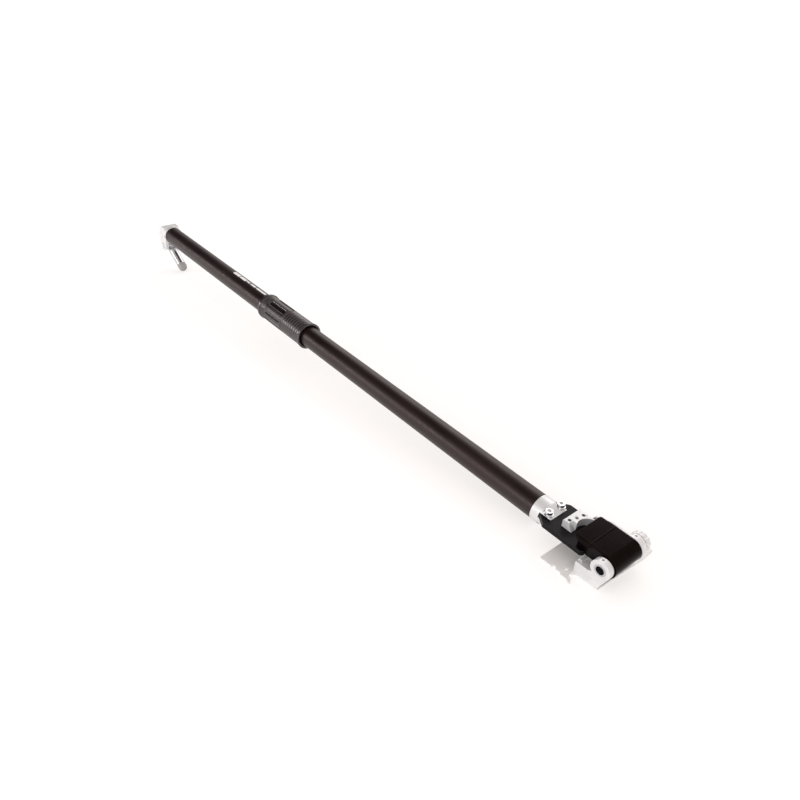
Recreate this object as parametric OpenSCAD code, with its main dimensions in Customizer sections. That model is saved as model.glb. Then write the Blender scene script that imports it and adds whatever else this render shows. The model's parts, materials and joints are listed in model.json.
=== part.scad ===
// Telescopic pole on a hinged foot plate, lying at rest with its far end held up by a folding leg.
// +X runs from the hinged head to the far end, +Y to the side with the open axle, +Z up.
// The origin is on the underside of the foot plate, straight below the hinge axle.
// "Pole frame" below: x along the pole, z square to it and up, zero on the hinge axle.

/* [Pole] */
// Outside diameter of both visible tubes
tube_d = 36; // [34:0.5:38]
// Visible length of both tubes and the grip, pole closed
visible_len = 1064.5; // [950:0.5:1200]
// How far the pole rises towards its far end, in degrees
pole_rise = 2.6; // [2.5:0.05:2.75]

/* [Twist grip] */
// Distance of the grip's open mouth from the tube socket's shoulder
grip_start = 528; // [480:1:560]
// Length of the grip
grip_len = 137; // [130:1:145]
// Largest diameter of the grip
grip_d = 45.2; // [45:0.2:47]
// Number of finger scallops round the grip
scallop_count = 8; // [6:1:9]

/* [Head] */
// Height of the hinge axle above the floor
axle_h = 30.4; // [30:0.1:31]
// Width of the black hinge hood
hood_w = 50; // [48:1:51]
// Outer radius of the round hood
hood_r = 15.3; // [15:0.1:15.6]
// Width of the black carrier plate
carrier_w = 54; // [52:1:56]

/* [Foot plate] */
// Thickness of the foot plate
plate_t = 2.5; // [2.5:0.1:3]
// Length of the foot plate along the pole
plate_len = 80; // [78:1:84]
// Distance between the two fixing holes
fixing_pitch = 96; // [94:1:98]

/* [Hidden] */
$fn = 96;

gap = 0.05;                 // running clearance, radial
eps = 0.01;
tube_r = tube_d / 2;
tube_wall = 2;
bore_r = tube_r - tube_wall;
pole_drop = 11.2;           // the tube's centre line lies this far below the axle
shoulder_x = 119.5;         // tube socket's shoulder, from the axle
end_x = shoulder_x + visible_len;

// foot plate and ears
plate_front = -7;           // the front edge runs a little askew
front_skew = 4.6;
plate_rear = plate_front + plate_len;
plate_near = 48;
plate_far = -72;
fixing_x = 40.5;
fixing_r = 2.75;
fixing_near = 38;
ear_t = 8;
ear_gap = 26.6;             // near ear's inner face
far_ear_gap = 29.2;         // far ear's inner face
ear_r = 13.5;
ear_arm_x = 33;
ear_arm_h = 19.5;
ear_mid_y = [ear_gap + ear_t / 2, -far_ear_gap - ear_t / 2];
ear_screw_x = [8, 25];
ear_screw_r = 2;

rest_pin_r = 3.4;
rest_pin_x = 29.2;
rest_pin_z = 18.9;

// axle, its bushes and the knob
axle_r = 8;
axle_bore_r = 5.8;
axle_near = ear_gap + ear_t + 0.4;
axle_far = -47;
bush_r = 10;
knob_r = 13.2;
knob_t = 8.6;
knob_in = far_ear_gap + ear_t + 0.6;

// black head
hood_shell = 2.4;
barrel_r = hood_r - hood_shell - gap;
seam_x = 24;
cover_rear = 47.5;
cover_low = 9;
carrier_top = -2;
carrier_t = 7;
carrier_low = carrier_top - carrier_t;
carrier_front = 31;
carrier_rear = 107;
recess_w = 40;              // the hinge block is this wide under the cover
cheek_t = 3;
cover_screw_x = [35, 41.5];
cover_screw_y = 14;

// silver saddle block
saddle_top = 9.3;
saddle_rear = 75;
saddle_near = 12;
saddle_far = -19;
saddle_screw_at = [[69, 7], [64, -14]];

// tube socket
ferrule_r = tube_r + 0.4;
ferrule_front = 89;
ferrule_screw_x = 96.5;
ferrule_screw_y = 11.5;
jaw_floor = 0.6;
spigot_len = 38;

// telescopic joint, measured along the pole from the axle
mouth_x = shoulder_x + grip_start;
grip_end = mouth_x + grip_len;
near_tube_end = mouth_x + 28;
far_tube_start = mouth_x + 53;
inner_r = 14.5;
inner_bore_r = 12.9;
inner_start = 600;
inner_end = 1085;
sleeve_r = tube_r + 1.5;
sleeve_end = grip_end - 20;
nut_r = sleeve_r + 0.7;
grip_r = grip_d / 2;
rib_pitch = 6.6;
rib_h = 0.9;
rib_stop = 60;              // the near ribs end this far from the mouth
rib_restart = 118;          // and the far ribs start here
scallop_r = 7;
scallop_depth = 1.4;

// end fitting and leg
flange_r = 19.2;
flange_t = 8;
flange_rear = end_x + flange_t + 0.05;
cheek_in = 10.4;
cheek_out = 16.4;
pivot_x = end_x + 27;
pivot_z = -40;
fork_top = 6;
leg_pin_r = 4;
leg_r = 9.2;
leg_foot_r = 9.4;
foot_cap = 6;               // straight part of the foot, above its round end
leg_down = 33.8;            // the leg's slope below level, at rest
stop_r = 2;                 // cross pin that the open leg leans on
stop_along = 11;
// the leg's pivot in the row's own frame, and the leg's length from it to the foot's centre
pivot_row_x = pivot_x * cos(pole_rise) - pivot_z * sin(pole_rise);
pivot_row_z = axle_h + pivot_x * sin(pole_rise) + pivot_z * cos(pole_rise);
leg_len = (pivot_row_z - leg_foot_r) / sin(leg_down);

// ---------- helpers ----------
// puts pole-frame parts into the row's frame
module pole_frame() translate([0, 0, axle_h]) rotate([0, -pole_rise, 0]) children();

// a local Z axis becomes the tube's centre line, zero under the axle
module along_tube() pole_frame() translate([0, 0, -pole_drop]) rotate([0, 90, 0]) children();

// an outline drawn in x and z, thick along Y between two sides
module slab_y(y_low, y_high)
    translate([0, y_high, 0]) rotate([90, 0, 0]) linear_extrude(y_high - y_low) children();

// a rod along Y
module rod_y(r, y_low, y_high)
    translate([0, y_low, 0]) rotate([-90, 0, 0]) cylinder(r = r, h = y_high - y_low);

module ring(r_out, r_in, from, to) translate([0, 0, from]) difference() {
    cylinder(r = r_out, h = to - from);
    translate([0, 0, -1]) cylinder(r = r_in, h = to - from + 2);
}

// a socket-head screw standing on z = 0, its shank going down
module cap_screw(shank_r, shank_len, head_r, head_h) {
    difference() {
        cylinder(r = head_r, h = head_h);
        translate([0, 0, head_h * 0.4]) cylinder(r = head_r * 0.55, h = head_h, $fn = 6);
    }
    translate([0, 0, -shank_len]) cylinder(r = shank_r, h = shank_len + eps);
}

// a rounded rectangle from (x0, y0) to (x1, y1), as exact arcs
module round_rect(x0, y0, x1, y1, r) {
    translate([x0 + r, y0]) square([x1 - x0 - 2 * r, y1 - y0]);
    translate([x0, y0 + r]) square([x1 - x0, y1 - y0 - 2 * r]);
    for (x = [x0 + r, x1 - r], y = [y0 + r, y1 - r]) translate([x, y]) circle(r = r);
}

// ---------- foot plate and ears ----------
module plate_outline() difference() {
    union() {
        polygon([
            [plate_front + 1, plate_far], [plate_rear, plate_far], [plate_rear, plate_near],
            [30, plate_near], [30, ear_gap + ear_t], [plate_front + front_skew, ear_gap + ear_t],
            [plate_front + front_skew - 1, 8], [plate_front, plate_far + 22]]);
        // hooked corner beside the near ear
        polygon([
            [34, plate_near - 1], [42, plate_near - 1], [40, 50], [31, 50.5], [25, 53.5],
            [23.6, 52], [27, 46.5], [34, 44.5]]);
    }
    // bites out of the near edge, and the relief behind the ear
    translate([52, plate_near]) circle(r = 3.2);
    translate([30, 41]) circle(r = 3.6);
    // fixing holes
    for (side = [0, 1]) translate([fixing_x, fixing_near - side * fixing_pitch])
        circle(r = fixing_r);
}

module base_plate() color([0.72, 0.72, 0.73]) difference() {
    linear_extrude(plate_t) plate_outline();
    for (x = ear_screw_x, y = ear_mid_y) translate([x, y, 0]) {
        translate([0, 0, -1]) cylinder(r = ear_screw_r + 0.1, h = plate_t + 2);
        translate([0, 0, -eps]) cylinder(r1 = ear_screw_r + 1.9, r2 = ear_screw_r + 0.1, h = 1.8);
    }
}

// the ear's side view: a round eye on a tapering front and a low arm to the rear
module ear_outline() {
    front = [-1.5, plate_t];
    reach = norm(front - [0, axle_h]);
    lean = atan2(front[1] - axle_h, front[0]) - acos(ear_r / reach);
    rear_lean = -40;
    translate([0, axle_h]) circle(r = ear_r);
    polygon([
        front, [ear_arm_x, plate_t], [ear_arm_x, ear_arm_h - 1], [ear_arm_x - 1, ear_arm_h],
        [ear_r * cos(rear_lean) + 4, ear_arm_h],
        [ear_r * cos(rear_lean), axle_h + ear_r * sin(rear_lean)],
        [0, axle_h], [ear_r * cos(lean), axle_h + ear_r * sin(lean)]]);
}

module ear(y_low) difference() {
    slab_y(y_low, y_low + ear_t) ear_outline();
    translate([0, 0, axle_h]) rod_y(axle_r + gap, y_low - 1, y_low + ear_t + 1);
    for (x = ear_screw_x) translate([x, y_low + ear_t / 2, plate_t - 1])
        cylinder(r = ear_screw_r + 0.02, h = 11);
    // radial hole for the grub screw that holds the axle
    translate([0, y_low + ear_t / 2, axle_h]) rotate([0, 5, 0]) cylinder(r = 1.52, h = ear_r + 2);
}

module near_ear() color([0.86, 0.86, 0.87]) difference() {
    ear(ear_gap);
    translate([rest_pin_x, 0, rest_pin_z]) rod_y(rest_pin_r + 0.02, ear_gap - 1, ear_gap + 5);
}

module far_ear() color([0.86, 0.86, 0.87]) ear(-far_ear_gap - ear_t);

module ear_screws() color([0.3, 0.3, 0.32])
    for (x = ear_screw_x, y = ear_mid_y) translate([x, y, 0.1])
        difference() {
            union() {
                cylinder(r1 = ear_screw_r + 1.7, r2 = ear_screw_r, h = 1.75);
                cylinder(r = ear_screw_r, h = 10);
            }
            translate([0, 0, -1]) cylinder(r = 1.2, h = 2, $fn = 6);
        }

module axle() color([0.6, 0.6, 0.62]) translate([0, 0, axle_h]) difference() {
    rod_y(axle_r, axle_far, axle_near);
    rod_y(axle_bore_r, axle_far - 1, axle_near + 1);
}

module grub_screws() color([0.25, 0.25, 0.27])
    for (y = ear_mid_y) translate([0, y, axle_h]) rotate([0, 5, 0])
        difference() {
            translate([0, 0, axle_r + 0.2]) cylinder(r = 1.5, h = 3.6);
            translate([0, 0, axle_r + 2.4]) cylinder(r = 0.75, h = 3, $fn = 6);
        }

// short pin that the hinge block comes down on, so the pole rests a little above level
module rest_pin() color([0.75, 0.75, 0.76]) translate([rest_pin_x, 0, rest_pin_z])
    rod_y(rest_pin_r, 17, ear_gap + 4);

module tilt_knob() color([0.8, 0.8, 0.81]) translate([0, 0, axle_h]) difference() {
    union() {
        rod_y(knob_r, -knob_in - knob_t, -knob_in - 1.2);
        rod_y(knob_r - 3, -knob_in - knob_t, -knob_in);
    }
    rod_y(axle_r + gap, -knob_in - knob_t - 1, -knob_in + 1);
    // finger flutes round the rim, and one dimple
    for (k = [0:11]) rotate([0, k * 30, 0]) translate([knob_r + 1.6, 0, 0])
        rod_y(2.6, -knob_in - knob_t - 1, -knob_in + 1);
    rotate([0, 15, 0]) translate([0, -knob_in - knob_t, knob_r - 2.6]) rod_y(1, -1, 2);
}

// ---------- black head, riding on the axle ----------
module carrier_outline() polygon([
    [carrier_front, -carrier_w / 2], [92, -carrier_w / 2], [carrier_rear, -16.5],
    [carrier_rear, 16.5], [92, carrier_w / 2], [carrier_front + 3, carrier_w / 2], [carrier_front, carrier_w / 2 - 3]]);

module carrier_plate() color([0.08, 0.07, 0.08]) pole_frame() difference() {
    translate([0, 0, carrier_low]) linear_extrude(carrier_t) carrier_outline();
    for (side = [-1, 1]) translate([ferrule_screw_x, side * ferrule_screw_y, carrier_low - 1])
        cylinder(r = 3.1, h = carrier_t + 2);
    for (x = cover_screw_x, side = [-1, 1]) translate([x, side * cover_screw_y, carrier_low - 1])
        cylinder(r = 1.8, h = carrier_t + 2);
    for (p = saddle_screw_at) translate([p[0], p[1], carrier_low - 1])
        cylinder(r = 1.6, h = carrier_t + 2);
}

// the hinge block fills the head under the hood: a barrel round the axle and a body behind it
module hinge_block() color([0.06, 0.06, 0.07]) pole_frame() difference() {
    union() {
        rod_y(barrel_r, -hood_w / 2, hood_w / 2);
        slab_y(-recess_w / 2, recess_w / 2) polygon([
            [0, carrier_low], [carrier_front - 0.1, carrier_low], [carrier_front - 0.1, carrier_top],
            [cover_rear - 3, carrier_top], [cover_rear - 3, barrel_r - eps], [0, barrel_r - eps]]);
        // lip under the hood's front edge
        intersection() {
            rod_y(hood_r, -hood_w / 2, hood_w / 2);
            slab_y(-hood_w / 2, hood_w / 2)
                polygon([[0, 0], [-30, -23.5], [-30, -40], [2, -40], [2, 0]]);
        }
    }
    rod_y(bush_r + 0.02, -hood_w, hood_w);
    for (x = cover_screw_x, side = [-1, 1]) translate([x, side * cover_screw_y, carrier_top - 1])
        cylinder(r = 1.8, h = 30);
}

// side view of the hood's outside, rounded over the front
module hood_side() {
    circle(r = hood_r);
    translate([0, cover_low]) square([seam_x, hood_r - cover_low]);
}

module front_hood() color([0.05, 0.045, 0.05]) pole_frame() difference() {
    slab_y(-hood_w / 2, hood_w / 2) difference() {
        hood_side();
        circle(r = barrel_r + gap);
        translate([0, -1]) square([seam_x + 1, barrel_r + 1 + gap]);
        // open below: the front edge ends a little under the axle's level
        polygon([[0, 0], [-30, -18.5], [-30, -40], [30, -40], [30, 0]]);
    }
    // softened long edges
    for (side = [-1, 1]) translate([-20, side * hood_w / 2, hood_r]) rotate([45, 0, 0])
        translate([0, -0.7, -0.7]) cube([60, 1.4, 1.4]);
    // under-edge of the skirt stays clear of the hinge block's body
    slab_y(-recess_w / 2 - gap, recess_w / 2 + gap)
        translate([0.5, -20]) square([seam_x, 20 + barrel_r + gap]);
}

module cover_plan() round_rect(seam_x + 0.4, -hood_w / 2, cover_rear, hood_w / 2, 5);

module rear_cover() color([0.06, 0.05, 0.055]) pole_frame() difference() {
    union() {
        translate([0, 0, cover_low]) linear_extrude(hood_r - cover_low) difference() {
            union() {
                cover_plan();
                translate([seam_x + 0.4, -hood_w / 2]) square([8, hood_w]);
            }
            // room for the block that it sits on
            translate([seam_x - 1, -recess_w / 2 - gap])
                square([cover_rear - 1.9 - seam_x, recess_w + 2 * gap]);
        }
        translate([0, 0, barrel_r]) linear_extrude(hood_r - barrel_r) {
            cover_plan();
            translate([seam_x + 0.4, -hood_w / 2]) square([8, hood_w]);
        }
        // low ridge along the seam
        translate([seam_x + 0.4, -hood_w / 2 + 1, hood_r - eps]) cube([1.6, hood_w - 2, 0.5]);
    }
    for (side = [-1, 1]) translate([0, side * hood_w / 2, hood_r]) rotate([45, 0, 0])
        translate([0, -0.7, -0.7]) cube([60, 1.4, 1.4]);
    for (x = cover_screw_x, side = [-1, 1]) translate([x, side * cover_screw_y, barrel_r - 0.1])
        cylinder(r = 1.52, h = 1.6);
}

// thin bright side plate between the head and the far ear
module far_cheek() color([0.82, 0.82, 0.83]) pole_frame() difference() {
    union() {
        rod_y(hood_r + 0.9, -hood_w / 2 - cheek_t, -hood_w / 2 - gap);
        slab_y(-hood_w / 2 - cheek_t, -hood_w / 2 - gap) polygon([
            [-2, 14], [0, hood_r + 0.3], [33, hood_r + 0.6], [54, 8.5], [61, carrier_top + 0.1],
            [30.5, carrier_top + 0.1], [30.5, -9], [4, -13], [-2, -13]]);
    }
    rod_y(bush_r + 0.4, -hood_w / 2 - cheek_t - 1, -hood_w / 2 + 1);
    for (x = [14, 40]) translate([x, 0, 3]) rod_y(1.6, -hood_w / 2 - cheek_t - 1, -hood_w / 2 + 1);
}

module cover_screws() color([0.2, 0.2, 0.22]) pole_frame()
    for (x = cover_screw_x, side = [-1, 1]) translate([x, side * cover_screw_y, carrier_low])
        difference() {
            union() {
                translate([0, 0, -1.6]) cylinder(r = 2.9, h = 1.6);
                cylinder(r = 1.5, h = barrel_r + 1.2 - carrier_low);
            }
            translate([0, 0, -2]) cylinder(r = 1.2, h = 1.4, $fn = 6);
        }

module hinge_bushes() color([0.62, 0.5, 0.25]) pole_frame() {
    difference() {
        union() {
            rod_y(bush_r, 8, hood_w / 2);
            rod_y(bush_r + 2, hood_w / 2, ear_gap - 0.3);
        }
        rod_y(axle_r + gap, 0, hood_w);
    }
    difference() {
        rod_y(bush_r, -far_ear_gap + 0.4, -8);
        rod_y(axle_r + gap, -hood_w, 0);
    }
}

// ---------- saddle block on the carrier plate ----------
module saddle_plan() difference() {
    translate([50, saddle_far]) square([saddle_rear - 50, saddle_near - saddle_far]);
    translate([46, -3]) circle(r = 15.5);
    translate([49, 4]) square([10.5, 20]);
    translate([58.5, saddle_far - 1]) square([3.2, 4.4]);
}

module saddle_block() color([0.88, 0.88, 0.89]) pole_frame() difference() {
    translate([0, 0, carrier_top + 0.02]) linear_extrude(saddle_top - carrier_top) saddle_plan();
    // sloping near arm and bevelled rear edge
    slab_y(4, 30) polygon([[50, 20], [50, -4], [59, -4], [66, 9.4], [66, 20]]);
    slab_y(-30, 30) polygon([
        [saddle_rear - 1.5, 20], [saddle_rear - 1.5, saddle_top],
        [saddle_rear + 1, saddle_top - 2.5], [saddle_rear + 5, 20]]);
    for (p = saddle_screw_at) translate([p[0], p[1], carrier_top - 1]) cylinder(r = 1.6, h = 20);
    for (p = saddle_screw_at) translate([p[0], p[1], saddle_top - 1.6]) cylinder(r = 2.5, h = 20);
    // tapped accessory hole in the middle
    translate([66, -3.5, saddle_top - 8]) cylinder(r = 2.5, h = 20);
}

module saddle_screws() color([0.35, 0.35, 0.37]) pole_frame()
    for (p = saddle_screw_at) translate([p[0], p[1], saddle_top - 1.55]) difference() {
        union() {
            cylinder(r = 2.4, h = 1.3);
            translate([0, 0, carrier_low + 1 - saddle_top]) cylinder(r = 1.55, h = saddle_top - carrier_low);
        }
        translate([0, 0, 0.3]) cylinder(r = 1.1, h = 3, $fn = 6);
    }

// ---------- tube socket ----------
module ferrule() color([0.88, 0.88, 0.89]) difference() {
    union() {
        along_tube() cylinder(r = ferrule_r, h = shoulder_x);
        along_tube() cylinder(r = bore_r - gap, h = shoulder_x + spigot_len);
    }
    pole_frame() {
        // everything ahead of the upper jaw, and the slot for the carrier plate
        translate([-1, -40, -60]) cube([ferrule_front + 1, 80, 80]);
        translate([0, -40, carrier_low - 0.02]) cube([carrier_rear + 0.05, 80, carrier_t + 0.04]);
        translate([0, -40, -60]) cube([95, 80, 60 - 5]);
        // the lower jaw is flat underneath
        translate([0, -40, -60]) cube([108, 80, 60 - 17]);
        // the upper jaw slopes down to its front edge
        slab_y(-40, 40) polygon([[80, 20], [80, -1.9], [ferrule_front + 1.6, -1.9], [103, 8], [103, 20]]);
        // screw seats, open to the sides
        for (side = [-1, 1]) translate([ferrule_screw_x, side * ferrule_screw_y, jaw_floor]) {
            cylinder(r = 7, h = 20);
            translate([-7, side > 0 ? 0 : -20, 0]) cube([14, 20, 20]);
        }
        for (side = [-1, 1]) translate([ferrule_screw_x, side * ferrule_screw_y, -25])
            cylinder(r = 3.1, h = 50);
    }
    along_tube() translate([0, 0, shoulder_x - 6]) cylinder(r = bore_r - 4, h = spigot_len + 20);
}

module ferrule_washers() color([0.7, 0.7, 0.72]) pole_frame()
    for (side = [-1, 1]) translate([ferrule_screw_x, side * ferrule_screw_y, 0])
        ring(6.4, 3.1, jaw_floor + 0.02, jaw_floor + 1);

module ferrule_screws() color([0.85, 0.85, 0.86]) pole_frame()
    for (side = [-1, 1]) translate([ferrule_screw_x, side * ferrule_screw_y, jaw_floor + 1.02])
        cap_screw(3, 17, 5.2, 4.8);

// ---------- telescopic tubes ----------
module near_tube() color([0.07, 0.06, 0.065]) along_tube() ring(tube_r, bore_r, shoulder_x, near_tube_end);

module inner_tube() color([0.75, 0.75, 0.76]) along_tube()
    ring(inner_r, inner_bore_r, inner_start, inner_end);

// two sleeves hold the inner tube fast inside the near tube
module joint_sleeves() color([0.35, 0.35, 0.36]) along_tube() {
    ring(bore_r - 0.02, inner_r + 0.02, inner_start, inner_start + 30);
    ring(bore_r - 0.02, inner_r + 0.02, near_tube_end - 26, near_tube_end - 1);
}

module guide_ring() color([0.9, 0.9, 0.86]) along_tube()
    ring(bore_r - gap, inner_r + 0.02, inner_end - 20, inner_end - 2);

module inner_end_plug() color([0.12, 0.12, 0.12]) along_tube() {
    translate([0, 0, inner_end + 0.02]) cylinder(r = inner_r, h = 3);
    translate([0, 0, inner_end - 14]) cylinder(r = inner_bore_r - 0.02, h = 14.1);
}

module far_tube() color([0.07, 0.06, 0.065]) along_tube() ring(tube_r, bore_r, far_tube_start, end_x);

// aluminium sleeve on the far tube's end, which the grip's nut turns on; its rings stand for the thread
module threaded_sleeve() color([0.75, 0.75, 0.76]) along_tube() {
    ring(sleeve_r - 0.6, tube_r + 0.02, far_tube_start + 4, sleeve_end);
    for (k = [0:11]) ring(sleeve_r, sleeve_r - 0.7, far_tube_start + 6 + 4 * k, far_tube_start + 8 + 4 * k);
}

// split collet that the grip squeezes onto the inner tube
module collet() color([0.92, 0.92, 0.88]) along_tube() difference() {
    union() {
        translate([0, 0, far_tube_start - 18]) cylinder(r1 = 16, r2 = 17.6, h = 13);
        translate([0, 0, far_tube_start - 5]) cylinder(r = 17.6, h = 1.9);
    }
    translate([0, 0, far_tube_start - 30]) cylinder(r = inner_r + gap, h = 40);
    for (k = [0:5]) rotate([0, 0, 60 * k]) translate([10, -0.5, far_tube_start - 20]) cube([10, 1, 13]);
}

// plain bearing in the far tube's end, running on the inner tube
module guide_bush() color([0.9, 0.9, 0.86]) along_tube() {
    ring(bore_r - 0.02, inner_r + gap, far_tube_start - 1, far_tube_start + 24);
    ring(tube_r, inner_r + gap, far_tube_start - 3, far_tube_start - 0.02);
}

// ---------- twist grip ----------
function rib_outline(from, to) = [
    for (z = [from : rib_pitch : to - rib_pitch + eps], k = [0:5])
        [grip_r - rib_h + rib_h * sin(k * 36), z + rib_pitch * k / 6]];

module grip_shell() color([0.12, 0.12, 0.125]) along_tube() difference() {
    rotate_extrude() polygon(concat(
        [[19.3, mouth_x], [grip_r - 1.6, mouth_x], [grip_r - 0.4, mouth_x + 1.2],
            [grip_r - 0.4, mouth_x + 3.4], [grip_r - rib_h, mouth_x + 4]],
        rib_outline(mouth_x + 4.5, mouth_x + rib_stop),
        [[grip_r - 0.3, mouth_x + rib_stop + 1], [grip_r - 0.3, mouth_x + rib_restart - 2]],
        rib_outline(mouth_x + rib_restart, grip_end - 4),
        [[grip_r - 0.2, grip_end - 4], [grip_r - 0.2, grip_end - 2], [grip_r - 2.2, grip_end],
            [tube_r + 0.6, grip_end], [tube_r + 0.6, grip_end - 12],
            [nut_r + 0.02, grip_end - 14], [nut_r + 0.02, far_tube_start - 6],
            [19.3, far_tube_start - 8]]));
    // finger scallops along the smooth middle, with round ends
    for (k = [0 : scallop_count - 1]) rotate([0, 0, (k + 0.5) * 360 / scallop_count])
        translate([grip_r + scallop_r - scallop_depth, 0, 0]) {
            translate([0, 0, mouth_x + rib_stop + 6])
                cylinder(r = scallop_r, h = rib_restart - rib_stop - 12);
            for (z = [rib_stop + 6, rib_restart - 6]) translate([0, 0, mouth_x + z])
                sphere(r = scallop_r);
        }
}

module grip_nut() color([0.78, 0.78, 0.79]) along_tube()
    ring(nut_r, sleeve_r + gap, far_tube_start + 2, sleeve_end + 2);

module wiper_ring() color([0.1, 0.1, 0.1]) along_tube() ring(19.28, tube_r + 0.35, mouth_x + 8, mouth_x + 11);

// ---------- end fitting and folding leg ----------
module end_socket() color([0.86, 0.86, 0.87]) along_tube() difference() {
    union() {
        translate([0, 0, end_x + 0.02]) cylinder(r = flange_r, h = flange_t);
        translate([0, 0, end_x - 34]) cylinder(r = bore_r - gap, h = 35);
    }
    translate([0, 0, end_x - 40]) cylinder(r = bore_r - 4, h = 40);
    for (a = [0, 180]) translate([0, 0, end_x + 4]) rotate([0, 0, 90 + a]) rotate([0, 90, 0])
        translate([0, 0, flange_r - 3]) cylinder(r = 2, h = 5);
}

module end_screws() color([0.3, 0.3, 0.32]) along_tube()
    for (a = [0, 180]) translate([0, 0, end_x + 4]) rotate([0, 0, 90 + a]) rotate([0, 90, 0])
        translate([0, 0, flange_r - 2.98]) difference() {
            cylinder(r = 1.95, h = 2.2);
            translate([0, 0, 0.8]) cylinder(r = 1, h = 3, $fn = 6);
        }

module fork_side() {
    translate([pivot_x, pivot_z]) circle(r = 11);
    polygon([
        [flange_rear, fork_top], [pivot_x - 3, fork_top], [pivot_x + 7, fork_top - 5],
        [pivot_x + 12, -18], [pivot_x + 11, pivot_z], [pivot_x, pivot_z - 11], [pivot_x - 16, pivot_z - 3],
        [flange_rear, pivot_z + 2]]);
}

// the stop pin's centre, beside the leg and above it
module at_stop() leg_frame() translate([leg_r + stop_r + 0.3, 0, stop_along]) children();

module leg_fork() color([0.86, 0.86, 0.87]) difference() {
    pole_frame() {
        slab_y(-cheek_out, -cheek_in) fork_side();
        slab_y(cheek_in, cheek_out) fork_side();
        // web that joins the two cheeks behind the flange
        slab_y(-cheek_in - eps, cheek_in + eps) polygon([
            [flange_rear, fork_top], [pivot_x - 3, fork_top], [pivot_x + 1, fork_top - 2],
            [pivot_x + 1, fork_top - 7], [flange_rear + 5, -9], [flange_rear + 5, -26], [flange_rear, -26]]);
    }
    pole_frame() translate([pivot_x, 0, pivot_z]) rod_y(leg_pin_r + 0.02, -20, 20);
    at_stop() rod_y(stop_r + 0.02, -20, 20);
}

module leg_stop() color([0.6, 0.6, 0.62]) at_stop() rod_y(stop_r, -cheek_out - 0.4, cheek_out + 0.4);

module leg_pin() color([0.7, 0.7, 0.72]) pole_frame() translate([pivot_x, 0, pivot_z]) {
    rod_y(leg_pin_r, -cheek_out - 0.6, cheek_out + 0.6);
    rod_y(leg_pin_r + 2, cheek_out + 0.1, cheek_out + 1.8);
    rod_y(leg_pin_r + 2, -cheek_out - 1.8, -cheek_out - 0.1);
}

// the leg's own frame: zero on its pivot, Z running down the leg
module leg_frame() translate([pivot_row_x, 0, pivot_row_z]) rotate([0, -90 - leg_down, 0]) children();

module leg_knuckle() color([0.84, 0.84, 0.85]) leg_frame() difference() {
    union() {
        rod_y(leg_r, -cheek_in + 0.35, cheek_in - 0.35);
        cylinder(r = leg_r - 1, h = 14);
        translate([0, 0, 9]) cylinder(r = leg_r, h = 5);
    }
    rod_y(leg_pin_r + gap, -20, 20);
}

module leg_rod() color([0.75, 0.75, 0.76]) leg_frame()
    translate([0, 0, 14.02]) cylinder(r = leg_r, h = leg_len - 14.02 - foot_cap);

module leg_foot() color([0.45, 0.45, 0.45]) leg_frame() difference() {
    union() {
        translate([0, 0, leg_len]) sphere(r = leg_foot_r);
        translate([0, 0, leg_len - foot_cap]) cylinder(r = leg_foot_r, h = foot_cap);
    }
    translate([0, 0, leg_len - foot_cap - 20 + 0.02]) cylinder(r = 2 * leg_foot_r, h = 20);
}

base_plate();
near_ear();
far_ear();
ear_screws();
axle();
grub_screws();
rest_pin();
tilt_knob();
carrier_plate();
hinge_block();
front_hood();
rear_cover();
far_cheek();
cover_screws();
hinge_bushes();
saddle_block();
saddle_screws();
ferrule();
ferrule_screws();
ferrule_washers();
near_tube();
inner_tube();
joint_sleeves();
guide_ring();
inner_end_plug();
far_tube();
threaded_sleeve();
collet();
guide_bush();
end_socket();
end_screws();
leg_fork();
leg_stop();
leg_pin();
grip_shell();
grip_nut();
wiper_ring();
leg_knuckle();
leg_rod();
leg_foot();
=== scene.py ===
# %% [markdown]
# # A telescopic boom pole, built up around its machined frame
# The pole is two black tubes of one width, joined by a moulded twist grip. One end is hinged in a
# bright and black head on a thin foot plate, and the other leans on a short folding leg.
# The load-bearing shapes come from the design frame as finished solids. Here they get their real
# finishes. The grip, whose charm is in its fine relief, is built anew as a mesh, and the printed
# marks on the far tube are added. The first cell loads the frame and keeps its box.

import json
from math import atan2, cos, pi, radians, sin, sqrt

import bpy
from mathutils import Matrix, Vector


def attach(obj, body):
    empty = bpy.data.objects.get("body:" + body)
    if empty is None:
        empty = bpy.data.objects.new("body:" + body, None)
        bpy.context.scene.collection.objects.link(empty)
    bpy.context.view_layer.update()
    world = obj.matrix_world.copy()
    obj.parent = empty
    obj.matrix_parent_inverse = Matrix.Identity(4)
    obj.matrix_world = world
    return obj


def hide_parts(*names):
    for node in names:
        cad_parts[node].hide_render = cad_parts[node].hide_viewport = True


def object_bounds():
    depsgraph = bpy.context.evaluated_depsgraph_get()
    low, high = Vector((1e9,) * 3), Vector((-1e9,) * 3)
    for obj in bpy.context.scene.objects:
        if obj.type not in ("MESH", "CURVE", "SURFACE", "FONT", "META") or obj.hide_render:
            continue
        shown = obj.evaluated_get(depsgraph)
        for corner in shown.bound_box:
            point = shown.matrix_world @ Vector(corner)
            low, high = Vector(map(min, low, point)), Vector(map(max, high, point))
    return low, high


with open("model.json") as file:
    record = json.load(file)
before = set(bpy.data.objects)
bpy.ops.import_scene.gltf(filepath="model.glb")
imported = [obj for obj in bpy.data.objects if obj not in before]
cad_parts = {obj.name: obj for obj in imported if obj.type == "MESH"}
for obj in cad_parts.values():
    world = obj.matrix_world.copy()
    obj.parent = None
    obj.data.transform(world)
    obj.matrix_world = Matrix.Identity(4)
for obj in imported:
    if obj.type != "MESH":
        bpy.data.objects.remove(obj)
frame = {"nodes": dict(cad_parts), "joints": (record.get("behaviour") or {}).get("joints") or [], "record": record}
frame_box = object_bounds()
nodes = frame["nodes"]
joints = {joint["name"]: joint for joint in frame["joints"]}
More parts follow.
